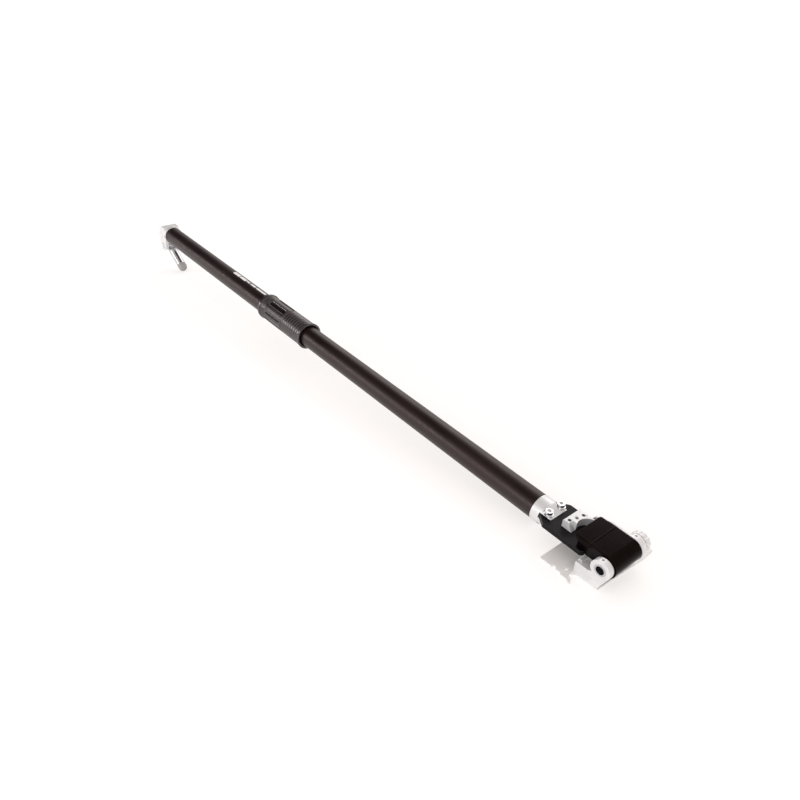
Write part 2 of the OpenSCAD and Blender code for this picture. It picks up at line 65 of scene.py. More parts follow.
mm = 0.001
print("parts in the frame:", len(nodes), "joints:", sorted(joints))

# %% [markdown]
# ## A ruler along the pole
# The pole does not lie level: it climbs a little towards its far end. Every piece added to it wants
# coordinates that climb with it, so this cell takes the pole's own axis from the grip's joint and
# makes a small ruler: how far along the pole, and which way round it. Working on that ruler keeps
# the shapes simple, because a grip is then only a radius that changes with distance and angle.

# %% The pole's own axes
pole_start = Vector(joints["pole_tilt"]["pos_m"])
pole_axis = Vector(joints["pole_slide"]["axis"]).normalized()
pole_side = Vector((0, 1, 0))
pole_up = pole_axis.cross(pole_side)
on_centre = Vector(joints["grip_twist"]["pos_m"])
centre_drop = (on_centre - pole_start).dot(pole_up)


def on_pole(along, angle=0.0, radius=0.0):
    """A point by distance from the hinge, angle round the tube (0 faces +Y, 90 up) and radius."""
    out = pole_side * cos(angle) + pole_up * sin(angle)
    return pole_start + pole_axis * along + pole_up * centre_drop + out * radius


def reach(node):
    """Where a part starts and ends along the pole, and its largest radius about the tube's centre."""
    along = []
    radii = []
    for vertex in nodes[node].data.vertices:
        away = vertex.co - pole_start
        distance = away.dot(pole_axis)
        along.append(distance)
        radii.append((away - pole_axis * distance - pole_up * centre_drop).length)
    return min(along), max(along), max(radii)


grip_from, grip_to, grip_radius = reach("grip_shell")
tube_radius = reach("far_tube")[2]
print("grip from", round(grip_from, 4), "to", round(grip_to, 4), "radius", round(grip_radius, 4))

# %% [markdown]
# ## Where the viewer stands
# A long thin thing like this is shown from above its head, looking down its length, so that the
# head is large and the far end small. That strong perspective needs a camera close to the head with
# a fairly wide lens. The direction is set by two angles and a slight roll, which is easier to reason
# about than a rotation matrix.

# %% Camera
eye = Vector((-0.2886, 0.5933, 0.6238))
looks_along_turn = radians(-40.73)
looks_along_dip = radians(-32.53)
roll = radians(2.04)

forward = Vector((
    cos(looks_along_dip) * cos(looks_along_turn),
    cos(looks_along_dip) * sin(looks_along_turn),
    sin(looks_along_dip)))
level_right = forward.cross(Vector((0, 0, 1))).normalized()
level_up = level_right.cross(forward)
right = level_right * cos(roll) + level_up * sin(roll)
up = right.cross(forward)

lens = bpy.data.cameras.new("camera")
lens.lens = 31.95
lens.sensor_width = 36
lens.clip_start = 0.02
camera = bpy.data.objects.new("camera", lens)
camera.matrix_world = Matrix((
    (right.x, up.x, -forward.x, eye.x),
    (right.y, up.y, -forward.y, eye.y),
    (right.z, up.z, -forward.z, eye.z),
    (0, 0, 0, 1)))
bpy.context.scene.collection.objects.link(camera)
bpy.context.scene.camera = camera
bpy.context.scene.view_settings.view_transform = "Standard"
print("camera is", round((eye - on_pole(0)).length, 3), "m from the hinge")

# %% [markdown]
# ## Small helpers for shader nodes
# Every finish below is a handful of nodes: a noise or two stretched the way the surface was made,
# a range that turns it into a roughness or a tint, and a bump. Wiring nodes one call at a time
# hides the idea behind the plumbing, so these helpers do the plumbing: they make the nodes, set
# them, and link what is handed to them.

# %% Node helpers
def start_finish(name):
    """A new material, its node tree and its main shader."""
    material = bpy.data.materials.new(name)
    material.use_nodes = True
    tree = material.node_tree
    return material, tree, tree.nodes["Principled BSDF"]


def add(tree, kind, inputs=None, **settings):
    """A node of a kind, with its settings; an input may be a number, a colour or another's output."""
    node = tree.nodes.new(kind)
    for key, value in settings.items():
        setattr(node, key, value)
    for key, value in (inputs or {}).items():
        if isinstance(value, bpy.types.NodeSocket):
            tree.links.new(value, node.inputs[key])
        else:
            node.inputs[key].default_value = value
    return node


climb = atan2(pole_axis.z, pole_axis.x)


def part_place(tree, squeeze=(1, 1, 1), turn=(0, climb, 0)):
    """A part's own coordinates, squeezed by a factor on each axis and then turned.

    The squeeze comes first, so the grain keeps to the part's own axes however it is turned."""
    place = add(tree, "ShaderNodeTexCoord")
    return add(tree, "ShaderNodeMapping", {
        "Vector": place.outputs["Object"], "Rotation": turn, "Scale": squeeze}).outputs["Vector"]


def speckle(tree, where, scale, detail=3.0, roughness=0.55):
    """Soft noise from 0 to 1."""
    return add(tree, "ShaderNodeTexNoise", {
        "Vector": where, "Scale": scale, "Detail": detail, "Roughness": roughness}).outputs["Fac"]


def between(tree, value, low, high, out_low, out_high, smooth=False):
    """Maps a value's range from low..high onto out_low..out_high."""
    mapped = add(tree, "ShaderNodeMapRange", {
        "Value": value, "From Min": low, "From Max": high, "To Min": out_low, "To Max": out_high})
    mapped.interpolation_type = "SMOOTHSTEP" if smooth else "LINEAR"
    return mapped.outputs["Result"]


def combine(tree, a, b, operation="ADD"):
    """Two values added, or put together by another operation, and kept within 0 to 1."""
    return add(tree, "ShaderNodeMath", {0: a, 1: b}, operation=operation, use_clamp=True).outputs[0]


def blend_colours(tree, share, first, second):
    """First where share is 0, second where it is 1."""
    mix = add(tree, "ShaderNodeMix", data_type="RGBA")
    pairs = ((mix.inputs[0], share), (mix.inputs[6], first), (mix.inputs[7], second))
    for socket, value in pairs:
        if isinstance(value, bpy.types.NodeSocket):
            tree.links.new(value, socket)
        else:
            socket.default_value = value
    return mix.outputs[2]


bevel_samples = 4


def edge_mask(tree, radius, faint=0.0005, full=0.02):
    """1 on sharp edges, 0 on faces, from how far a rounded normal parts from the true one."""
    rounded = add(tree, "ShaderNodeBevel", {"Radius": radius}, samples=bevel_samples)
    actual = add(tree, "ShaderNodeNewGeometry")
    alike = add(tree, "ShaderNodeVectorMath", {
        0: rounded.outputs["Normal"], 1: actual.outputs["Normal"]}, operation="DOT_PRODUCT")
    return between(tree, alike.outputs["Value"], 1 - faint, 1 - full, 0, 1)


def relief(tree, shader, height, depth, edge_radius=None):
    """A bump of a depth in metres, over edges softened by a radius."""
    bump = add(tree, "ShaderNodeBump", {"Height": height, "Strength": 1.0, "Distance": depth})
    if edge_radius:
        soft = add(tree, "ShaderNodeBevel", {"Radius": edge_radius}, samples=bevel_samples)
        tree.links.new(soft.outputs["Normal"], bump.inputs["Normal"])
    tree.links.new(bump.outputs["Normal"], shader.inputs["Normal"])


def set_shader(shader, **values):
    """Constants on the shader's own sockets, named in plain words."""
    for key, value in values.items():
        shader.inputs[key.replace("_", " ")].default_value = value


print("helpers ready")

# %% [markdown]
# ## Black tube
# The tubes are drawn metal with a thin, hard black coat. Up close such a coat is never one value:
# the drawing die leaves lines as long as the tube, hands leave duller patches, and the coat has a
# faint warm, plum-coloured cast where light grazes it. A clear separate coat layer would look wet,
# so the gloss stays on the base. The lines are a noise that is squeezed sixty-five times harder
# across the tube than along it.

# %% Tube finish
def tube_finish():
    """Drawn tube under a thin, hard black coat."""
    material, tree, shader = start_finish("black_tube")
    lines = speckle(tree, part_place(tree, (4, 260, 260)), 6.0, 4.0)
    hands = speckle(tree, part_place(tree, (1, 3, 3)), 9.0, 3.0)
    grain = speckle(tree, part_place(tree), 2400.0, 2.0)
    tint = blend_colours(tree, between(tree, hands, 0.35, 0.7, 0, 1), (0.0050, 0.0016, 0.0018, 1),
                         (0.0080, 0.0028, 0.0030, 1))
    tint = blend_colours(tree, between(tree, lines, 0.62, 0.78, 0, 0.3), tint, (0.028, 0.016, 0.016, 1))
    tree.links.new(tint, shader.inputs["Base Color"])
    rough = combine(tree, between(tree, hands, 0.3, 0.75, 0.36, 0.46),
                    between(tree, lines, 0.3, 0.7, -0.03, 0.05))
    tree.links.new(rough, shader.inputs["Roughness"])
    height = combine(tree, between(tree, lines, 0, 1, 0, 0.7), between(tree, grain, 0, 1, 0, 0.3))
    relief(tree, shader, height, 0.03 * mm)
    set_shader(shader, Specular_IOR_Level=0.55, Specular_Tint=(1.0, 0.80, 0.78, 1))
    return material


black_tube = tube_finish()
print(black_tube.name, "has", len(black_tube.node_tree.nodes), "nodes")

# %% [markdown]
# ## Bright metals
# The socket, saddle, ears, cheek and end fitting are milled and then clear anodised: very bright
# and milky, with the cutter's fine marks still in them. Their edges are painted near white, partly
# for bare metal where an edge was broken and partly as a painted highlight. A mirror-like metal
# would show only its surroundings, and these parts read as nearly white, so their finish is less
# than half metal and its roughness is moderate. The plain aluminium, the turned steel and the plated
# screws are full metals, and smoother. The painted edge line comes from comparing a rounded normal
# with the true one, which needs no extra geometry.

# %% Bright metal finishes
def milled_finish(name, pale, dark, mark_scale, rough_low, rough_high, metal,
                  edge_radius=0.4 * mm):
    """Cut metal: fine cutter marks, soft clouds, and edges painted near white as bare metal and as a painted
    highlight.
    """
    material, tree, shader = start_finish(name)
    marks = speckle(tree, part_place(tree, (1, 30, 1)), mark_scale, 4.0)
    cloud = speckle(tree, part_place(tree), 60.0, 3.0)
    edges = edge_mask(tree, edge_radius)
    tint = blend_colours(tree, between(tree, cloud, 0.35, 0.7, 0, 1), pale, dark)
    # edges painted near white: partly bare metal where an edge was broken, partly a painted highlight
    tint = blend_colours(tree, between(tree, edges, 0, 1, 0, 0.7), tint, (0.95, 0.95, 0.96, 1))
    tree.links.new(tint, shader.inputs["Base Color"])
    rough = combine(tree, between(tree, marks, 0.3, 0.7, rough_low, rough_high),
                    between(tree, cloud, 0.4, 0.7, 0, 0.06))
    tree.links.new(rough, shader.inputs["Roughness"])
    relief(tree, shader, marks, 0.025 * mm, edge_radius)
    set_shader(shader, Metallic=metal)
    return material


bright_metal = milled_finish(
    "bright_aluminium", pale=(0.80, 0.80, 0.80, 1), dark=(0.68, 0.68, 0.69, 1), mark_scale=140.0,
    rough_low=0.30, rough_high=0.42, metal=0.40)
plain_metal = milled_finish(
    "plain_aluminium", pale=(0.62, 0.62, 0.63, 1), dark=(0.50, 0.50, 0.51, 1), mark_scale=260.0,
    rough_low=0.16, rough_high=0.26, metal=1.0)
turned_steel = milled_finish(
    "turned_steel", pale=(0.60, 0.60, 0.62, 1), dark=(0.50, 0.50, 0.52, 1), mark_scale=300.0,
    rough_low=0.22, rough_high=0.32, metal=1.0)
plated_steel = milled_finish(
    "plated_steel", pale=(0.86, 0.86, 0.87, 1), dark=(0.76, 0.76, 0.78, 1), mark_scale=200.0,
    rough_low=0.18, rough_high=0.28, metal=1.0)
print("four bright metals")

# %% [markdown]
# ## Foot plate sheet
# The foot plate is bent and punched from pale sheet that has slid about on many floors. Sheet is
# rolled, so its grain runs one way, and most of its scuffs run the same way, because the plate is
# dragged lengthwise. The scuffs are a stretched noise cut hard by a narrow range, which leaves thin,
# broken lines instead of clouds. It is only faintly metallic, so that it stays pale.

# %% Sheet finish
def sheet_finish():
    """Rolled sheet with its grain, clouds and scuffs."""
    material, tree, shader = start_finish("plate_sheet")
    rolled = speckle(tree, part_place(tree, (2, 60, 1)), 40.0, 4.0)
    cloud = speckle(tree, part_place(tree), 28.0, 4.0, 0.65)
    dragged = part_place(tree, (6, 180, 6), turn=(0, 0, 0.7))
    scuffs = between(tree, speckle(tree, dragged, 7.0, 2.0), 0.66, 0.72, 0, 1)
    edges = edge_mask(tree, 0.5 * mm)
    tint = blend_colours(tree, between(tree, cloud, 0.3, 0.7, 0, 1), (0.90, 0.885, 0.87, 1),
                         (0.78, 0.77, 0.76, 1))
    tint = blend_colours(tree, combine(tree, edges, scuffs, "MAXIMUM"), tint, (0.83, 0.83, 0.83, 1))
    tree.links.new(tint, shader.inputs["Base Color"])
    rough = combine(tree, between(tree, cloud, 0.3, 0.7, 0.36, 0.52),
                    between(tree, rolled, 0.3, 0.7, -0.04, 0.05))
    tree.links.new(rough, shader.inputs["Roughness"])
    height = combine(tree, between(tree, rolled, 0, 1, 0, 0.5), between(tree, scuffs, 0, 1, 0.4, 0))
    relief(tree, shader, height, 0.03 * mm, 0.4 * mm)
    set_shader(shader, Metallic=0.08)
    return material


plate_sheet = sheet_finish()
print(plate_sheet.name, "ready")

# %% [markdown]
# ## Blacks of the head, and the rubbers
# The hood and rear cover are deep black mouldings, and the carrier under them is black anodised
# metal. What tells them apart is how they break the light: the moulding has a smooth skin with fine
# hairline scratches, the anodised plate a dry, even grain, and its edges have rubbed through to
# grey. One function makes them, the screws' oxide and the two rubbers from a few numbers. Shine is
# how strongly the surface reflects when seen square on, and cast is the tint of that reflection.

# %% Black finishes
def black_finish(name, deep, worn, rough_low, rough_high, grain_scale, grain_depth, wear,
                 edge_radius, shine=0.5, cast=(1, 1, 1, 1)):
    """A grained skin with hairline scratches and rubbed edges."""
    material, tree, shader = start_finish(name)
    grain = speckle(tree, part_place(tree), grain_scale, 3.0)
    cloud = speckle(tree, part_place(tree, (1, 1.6, 1)), 35.0, 4.0, 0.6)
    hair = between(tree, speckle(tree, part_place(tree, (14, 300, 20)), 5.0, 2.0), 0.68, 0.73, 0, 1)
    edges = edge_mask(tree, edge_radius)
    rubbed = combine(tree, edges, between(tree, cloud, 0.35, 0.65, 0.2, 1), "MULTIPLY")
    patchy = tuple(c * 1.5 for c in deep[:3]) + (1,)
    tint = blend_colours(tree, between(tree, cloud, 0.3, 0.7, 0, 1), deep, patchy)
    tint = blend_colours(tree, between(tree, hair, 0, 1, 0, 0.25), tint, worn)
    tint = blend_colours(tree, between(tree, rubbed, 0, 1, 0, wear), tint, worn)
    tree.links.new(tint, shader.inputs["Base Color"])
    rough = combine(tree, between(tree, cloud, 0.3, 0.7, rough_low, rough_high),
                    between(tree, hair, 0, 1, 0, 0.15))
    tree.links.new(rough, shader.inputs["Roughness"])
    relief(tree, shader, grain, grain_depth, edge_radius)
    set_shader(shader, Specular_IOR_Level=shine, Specular_Tint=cast)
    return material


hood_black = black_finish(
    "hood_moulding", deep=(0.0022, 0.0009, 0.0008, 1), worn=(0.040, 0.028, 0.026, 1),
    rough_low=0.11, rough_high=0.19, grain_scale=1800.0, grain_depth=0.02 * mm, wear=0.4,
    edge_radius=0.9 * mm, shine=0.05, cast=(1.0, 0.72, 0.66, 1))
carrier_black = black_finish(
    "carrier_anodised", deep=(0.0034, 0.0020, 0.0026, 1), worn=(0.10, 0.09, 0.10, 1),
    rough_low=0.28, rough_high=0.40, grain_scale=2600.0, grain_depth=0.03 * mm, wear=0.6,
    edge_radius=0.6 * mm, shine=0.14)
oxide_black = black_finish(
    "screw_oxide", deep=(0.03, 0.03, 0.031, 1), worn=(0.20, 0.20, 0.20, 1),
    rough_low=0.34, rough_high=0.46, grain_scale=2000.0, grain_depth=0.02 * mm, wear=0.8,
    edge_radius=0.3 * mm)
rubber_black = black_finish(
    "black_rubber", deep=(0.018, 0.018, 0.018, 1), worn=(0.05, 0.05, 0.05, 1),
    rough_low=0.62, rough_high=0.80, grain_scale=1500.0, grain_depth=0.06 * mm, wear=0.5,
    edge_radius=0.6 * mm)
rubber_grey = black_finish(
    "grey_rubber", deep=(0.30, 0.30, 0.29, 1), worn=(0.42, 0.42, 0.41, 1),
    rough_low=0.50, rough_high=0.68, grain_scale=1500.0, grain_depth=0.06 * mm, wear=0.5,
    edge_radius=0.6 * mm)
print("four blacks and a grey")

# %% [markdown]
# ## Bearing bronze and white bearing plastic
# Most of these are out of sight: bushes round the axle, and the collet and guides inside the tubes.
# Some show when the pole is pulled out or the head is looked at from the side, so they get honest
# finishes too. Bronze is a warm metal with an oily, uneven tone; the plastic is waxy, which a
# little subsurface scattering gives.

# %% Bearing finishes
def bronze_finish():
    """Warm, uneven bearing metal."""
    material, tree, shader = start_finish("bearing_bronze")
    cloud = speckle(tree, part_place(tree), 90.0, 4.0, 0.6)
    tint = blend_colours(tree, between(tree, cloud, 0.3, 0.7, 0, 1), (0.60, 0.43, 0.20, 1),
                         (0.42, 0.29, 0.13, 1))
    tree.links.new(tint, shader.inputs["Base Color"])
    tree.links.new(between(tree, cloud, 0.3, 0.7, 0.28, 0.42), shader.inputs["Roughness"])
    relief(tree, shader, cloud, 0.02 * mm, 0.3 * mm)
    set_shader(shader, Metallic=1.0)
    return material


def waxy_finish():
    """White bearing plastic that lets a little light in."""
    material, tree, shader = start_finish("bearing_plastic")
    cloud = speckle(tree, part_place(tree), 120.0, 3.0)
    tint = blend_colours(tree, between(tree, cloud, 0.3, 0.7, 0, 1), (0.80, 0.79, 0.73, 1),
                         (0.72, 0.71, 0.65, 1))
    tree.links.new(tint, shader.inputs["Base Color"])
    tree.links.new(between(tree, cloud, 0.3, 0.7, 0.42, 0.55), shader.inputs["Roughness"])
    relief(tree, shader, cloud, 0.02 * mm, 0.3 * mm)
    set_shader(shader, Subsurface_Weight=0.1)
    return material


bronze = bronze_finish()
bearing_plastic = waxy_finish()
print("bearing finishes ready")

# %% [markdown]
# ## Every machined part gets its finish
# The frame's parts already say which finish family they belong to, in the record's slots. Walking
# that list is safer than naming forty parts by hand: a part that is added later is painted too.

# %% Paint the frame
finish_of_slot = {
    "plate_steel": plate_sheet,
    "bright_aluminium": bright_metal,
    "plain_aluminium": plain_metal,
    "axle_steel": turned_steel,
    "bright_steel": plated_steel,
    "dark_steel": oxide_black,
    "bronze": bronze,
    "black_anodised": carrier_black,
    "black_gloss": hood_black,
    "tube_black": black_tube,
    "grip_black": rubber_black,
    "black_rubber": rubber_black,
    "grey_rubber": rubber_grey,
    "white_nylon": bearing_plastic,
}
# the rest pin takes the milky tone of the ear beside it, not that of its slot
finish_of_part = {"rest_pin": bright_metal}
for part in frame["record"]["subparts"]:
    mesh = nodes[part["node"]].data
    mesh.materials.clear()
    mesh.materials.append(finish_of_part.get(part["node"], finish_of_slot[part["material_slot"]]))

# %% [markdown]
# ## The twist grip
# The grip is one moulding. Rings run round it near both ends, and along its middle eight shallow,
# smooth scallops are pressed in for the fingers, with finely ribbed lands left between them.
# It could be carved with booleans, ring by ring, but every one of those features is only a change of
# radius, so the whole grip is one sheet of points on the ruler: distance along, angle round, and a
# radius worked out from both. The same numbers also tell the paint where the ribs' crests are.

# %% Grip measures
mouth_lip = 4.2 * mm
rib_pitch = 6.6 * mm
rib_height = 1.4 * mm
near_ribs_end = 60.5 * mm
far_ribs_start = 118 * mm
far_ring = 6.5 * mm
far_rib_share = 0.8  # height of the far rings against the near ones
land_pitch = 3.3 * mm
land_height = 0.5 * mm
land_crest = 0.6  # how polished the lands' ribs are and how much painted highlight they get, with a ring's crest as 1
middle_rise = rib_height * 0.6
middle_ease = 1.5 * mm
scallop_number = 8
scallop_half_angle = radians(15.5)
scallop_depth = 1.7 * mm
scallop_floor = 0.66  # share of a scallop's reach that is its floor
flare_rise = 1.0 * mm
flare_reach = 16 * mm
far_flare_share = 0.5  # swelling at the far end against the mouth's
mouth_flare = 1.6 * mm
tail_flare = 2.0 * mm
end_ease = 0.8 * mm
# crest values of the end rings, which set their polish and their painted highlight
mouth_polish_and_sheen = 0.9
tail_polish_and_sheen = 0.8
grip_length = grip_to - grip_from
bore_radius = 19.3 * mm
tail_radius = tube_radius + 0.6 * mm
print("grip is", round(grip_length, 4), "m long, with", scallop_number, "scallops")

# %% [markdown]
# Each feature is a number between 0 and 1 that says how much of it there is at a point, and an
# eased step keeps its border soft. Adding the features' heights, each times its number, gives the
# radius, and that is easier to change than a mesh.

# %% Grip surface
def eased(value, low, high):
    """0 below low, 1 above high, and a soft S between."""
    share = min(1.0, max(0.0, (value - low) / (high - low)))
    return share * share * (3 - 2 * share)


def band(distance, start, end, ease=1 * mm):
    """1 from start to end, eased in and out over a short length inside them."""
    return eased(distance, start, start + ease) * (1 - eased(distance, end - ease, end))


def ring_wave(distance, pitch):
    """One rounded rib per pitch, 0 in the groove and 1 on the crest."""
    return abs(sin(pi * distance / pitch)) ** 0.7


def flare_of(from_end):
    """The body swells a little towards an end."""
    return flare_rise * (1 - eased(from_end, 0, flare_reach))


def in_scallop(distance, angle):
    """1 on the floor of the nearest scallop, 0 outside it: its outline is a rounded rectangle."""
    pitch_angle = 2 * pi / scallop_number
    off = (angle % pitch_angle) - pitch_angle / 2
    half_length = (far_ribs_start - near_ribs_end) / 2 - middle_ease
    centre = (far_ribs_start + near_ribs_end) / 2
    across = abs(off) / scallop_half_angle
    lengthwise = abs(distance - centre) / half_length
    return 1 - eased((across ** 4 + lengthwise ** 10) ** 0.25, scallop_floor, 1.0)


def grip_surface(distance, angle):
    """Radius of the grip, and how much of a crest that point is."""
    # the rings near both ends; those of the far end are twice as close and lower
    near = band(distance, mouth_lip, near_ribs_end)
    far = band(distance, far_ribs_start, grip_length - far_ring)
    crest = near * ring_wave(distance - mouth_lip, rib_pitch)
    crest += far * ring_wave(distance - far_ribs_start, rib_pitch / 2) * far_rib_share
    radius = grip_radius - rib_height + rib_height * crest
    # the scallops and the lands between them
    middle = band(distance, near_ribs_end, far_ribs_start, middle_ease)
    inside = in_scallop(distance, angle)
    land = middle * (1 - inside)
    land_wave = ring_wave(distance, land_pitch)
    radius += land * (middle_rise + land_height * land_wave)
    radius += middle * inside * (middle_rise - scallop_depth)
    crest += land * land_crest * land_wave
    # solid rings at the two ends
    mouth = 1 - eased(distance, mouth_lip - end_ease, mouth_lip)
    tail = eased(distance, grip_length - far_ring, grip_length - far_ring + end_ease)
    radius += mouth * mouth_flare + tail * tail_flare
    radius += flare_of(distance) + flare_of(grip_length - distance) * far_flare_share
    crest += mouth * mouth_polish_and_sheen + tail * tail_polish_and_sheen
    return radius, crest


print("radius half way along:", round(grip_surface(grip_length / 2, 0)[0], 4), "m")

# %% [markdown]
# The outside sheet runs from the mouth to the tail. Its two ends are rounded over by a few extra
# rings of points, and past them it goes back inside along the bore, so that the open mouth shows
# real wall thickness and a dark gap round the tube.

# %% Build the grip
wall_lip = 1.1 * mm
tail_lip = 2.2 * mm
bore_depths = (42 * mm, 12 * mm, 2 * mm)
tail_bore = 12 * mm
mouth_rings = 8
outside_rings = 330
tail_rings = 7
tail_close = 0.9  # how far the tail's edge closes in, against tail_lip
points_around = 288


def grip_rings():
    """The grip's outline: for each ring of points, its kind, its place and its turn or radius."""
    for depth in bore_depths:
        yield "bore", depth, bore_radius
    for step in range(mouth_rings + 1):
        turn = pi * step / mouth_rings
        yield "mouth", wall_lip * (1 - sin(turn)), turn
    body = grip_length - tail_lip - wall_lip
    for step in range(outside_rings + 1):
        yield "outside", wall_lip + body * step / outside_rings, 0
    for step in range(1, tail_rings + 1):
        turn = pi / 2 * step / tail_rings
        yield "tail", grip_length - tail_lip * (1 - sin(turn)), turn
    yield "bore", grip_length, tail_radius
    yield "bore", grip_length - tail_bore, tail_radius


def ring_point(kind, distance, extra, angle):
    """Radius and crest of one point of a ring."""
    if kind == "bore":
        return extra, 0.0
    if kind == "mouth":
        outer, crest = grip_surface(wall_lip, angle)
        return bore_radius + (outer - bore_radius) * (1 - cos(extra)) / 2, crest
    if kind == "outside":
        return grip_surface(distance, angle)
    outer, crest = grip_surface(grip_length - tail_lip, angle)
    return outer - tail_lip * tail_close * (1 - cos(extra)), crest


def build_grip(name):
    """The grip as one sheet of points, ring after ring, joined by faces."""
    points = []
    crests = []
    for kind, distance, extra in grip_rings():
        for k in range(points_around):
            angle = 2 * pi * k / points_around
            radius, crest = ring_point(kind, distance, extra, angle)
            points.append(on_pole(grip_from + distance, angle, radius))
            crests.append(min(1.0, crest))
    faces = []
    for start in range(0, len(points) - points_around, points_around):
        next_start = start + points_around
        for k in range(points_around):
            after = (k + 1) % points_around
            faces.append((start + k, start + after, next_start + after, next_start + k))
    mesh = bpy.data.meshes.new(name)
    mesh.from_pydata(points, [], faces)
    mesh.shade_smooth()
    mesh.attributes.new("crest", "FLOAT", "POINT").data.foreach_set("value", crests)
    made = bpy.data.objects.new(name, mesh)
    bpy.context.scene.collection.objects.link(made)
    return made


grip = build_grip("twist_grip")
print("grip mesh has", len(grip.data.polygons), "faces")

# %% [markdown]
# ## Grip moulding
# Hands polish the crests of a grip and never reach its grooves. The crest value stored on the mesh
# drives that: smoother on the crests and rougher between. It also paints the colour paler on the
# crests as a painted highlight, and darker between as painted shade. A fine even grain over
# everything keeps the black from looking like paint.

# %% Grip finish
def grip_finish():
    """Black moulding, polished where the crest value is high, with a painted highlight there and painted shade
    between.
    """
    material, tree, shader = start_finish("grip_moulding")
    crest = add(tree, "ShaderNodeAttribute", attribute_name="crest").outputs["Fac"]
    grain = speckle(tree, part_place(tree), 1600.0, 3.0)
    cloud = speckle(tree, part_place(tree), 70.0, 4.0, 0.6)
    polish_and_painted_highlight = combine(tree, crest, between(tree, cloud, 0.35, 0.65, 0.7, 1.0), "MULTIPLY")
    tint = blend_colours(tree, between(tree, cloud, 0.3, 0.7, 0, 1), (0.0020, 0.0014, 0.0015, 1),
                         (0.0040, 0.0030, 0.0032, 1))
    # crests painted paler, partly for polish and partly as a painted highlight; the darker colour between is
    # painted shade
    tint = blend_colours(tree, polish_and_painted_highlight, tint, (0.026, 0.020, 0.021, 1))
    tree.links.new(tint, shader.inputs["Base Color"])
    rough = combine(tree, between(tree, polish_and_painted_highlight, 0, 1, 0.30, 0.12),
                    between(tree, cloud, 0.3, 0.7, 0, 0.05))
    tree.links.new(rough, shader.inputs["Roughness"])
    relief(tree, shader, grain, 0.02 * mm)
    set_shader(shader, Specular_IOR_Level=1.0, Specular_Tint=(1.0, 0.92, 0.92, 1))
    return material


grip.data.materials.append(grip_finish())
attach(grip, "grip")
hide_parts("grip_shell")
print("grip rides on the grip body")

# %% [markdown]
# ## Printed marks on the far tube
# A strip of pale marks is printed along the top of the far tube, beside the grip. They are plain
# bars here. Paint has a thickness of its own, so each bar is a thin closed patch with rounded
# corners, bent round the tube: its face stands just off the tube and its back lies just inside it.

# %% Marks
bar_lift = 0.08 * mm
bar_sink = 0.05 * mm
bar_corner = 1.1 * mm
long_steps = 36
wide_steps = 10


def curved_bar(name, start, length, angle, width):
    """A patch on the tube: two grids of points whose ends are narrowed to round the corners."""
    points = []
    faces = []
    for radius in (tube_radius - bar_sink, tube_radius + bar_lift):
        for i in range(long_steps + 1):
            distance = length * i / long_steps
            near_end = min(distance, length - distance)
            pull = 0.0
            if near_end < bar_corner:
                short = bar_corner - near_end
                pull = bar_corner - sqrt(max(0.0, bar_corner ** 2 - short ** 2))
            half = width / 2 - pull
            for j in range(wide_steps + 1):
                across = half * (2 * j / wide_steps - 1)
                points.append(on_pole(start + distance, angle + across / tube_radius, radius))
    row = wide_steps + 1
    layer_size = row * (long_steps + 1)
    for i in range(long_steps):
        for j in range(wide_steps):
            a = i * row + j
            faces.append((a, a + row, a + row + 1, a + 1))
            b = a + layer_size
            faces.append((b, b + 1, b + row + 1, b + row))
    rim = list(range(row))
    rim += [i * row + wide_steps for i in range(1, long_steps + 1)]
    rim += [long_steps * row + j for j in range(wide_steps - 1, -1, -1)]
    rim += [i * row for i in range(long_steps - 1, 0, -1)]
    for a, b in zip(rim, rim[1:] + rim[:1]):
        faces.append((a, b, b + layer_size, a + layer_size))
    mesh = bpy.data.meshes.new(name)
    mesh.from_pydata(points, [], faces)
    mesh.shade_smooth()
    made = bpy.data.objects.new(name, mesh)
    bpy.context.scene.collection.objects.link(made)
    return made


def print_finish():
    """Pale print that has worn through in specks."""
    material, tree, shader = start_finish("printed_marks")
    worn = speckle(tree, part_place(tree), 420.0, 4.0, 0.7)
    rubbed = between(tree, worn, 0.62, 0.72, 0, 0.6)
    tint = blend_colours(tree, rubbed, (0.78, 0.77, 0.78, 1), (0.22, 0.21, 0.22, 1))
    tree.links.new(tint, shader.inputs["Base Color"])
    tree.links.new(between(tree, worn, 0.3, 0.7, 0.4, 0.6), shader.inputs["Roughness"])
    relief(tree, shader, worn, 0.01 * mm)
    return material


marks_paint = print_finish()
marks_angle = radians(97)
# each bar: the gap before it, its length and its width, in mm
bars = [(11, 33, 4.6), (3, 18, 4.8), (3.5, 11, 4.2), (2.5, 21, 7.2), (2, 23, 7.6)]
bar_start = grip_to
for number, (gap, length, width) in enumerate(bars, 1):
    bar_start += gap * mm
    bar = curved_bar(f"tube_mark_{number}", bar_start, length * mm, marks_angle, width * mm)
    bar.data.materials.append(marks_paint)
    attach(bar, "far_section")
    bar_start += length * mm
print("marks end", round(bar_start, 3), "m along the pole")

# %% [markdown]
# ## The floor
# The pole lies on a seamless white sheet. The sheet should look white and still take the pole's
# shadow, so what the camera and the shiny surfaces see of it is about half lit sheet and half a
# flat glow near the pole, and glow alone further out. The glow is slightly warm and a little
# brighter than white. Everything else sees only the sheet, so the glow lights no matt surface.

# %% Floor
pole_middle = 0.6  # where along X the glow is weakest
glow_strength = 1.3
near_glow = 0.48  # share of glow beside the pole
glow_grows_from = 0.6
glow_alone_from = 1.6


def sees_the_background(tree):
    """1 for rays from the camera or from shiny and clear surfaces."""
    path = add(tree, "ShaderNodeLightPath")
    share = combine(tree, path.outputs["Is Camera Ray"], path.outputs["Is Glossy Ray"])
    return combine(tree, share, path.outputs["Is Transmission Ray"])


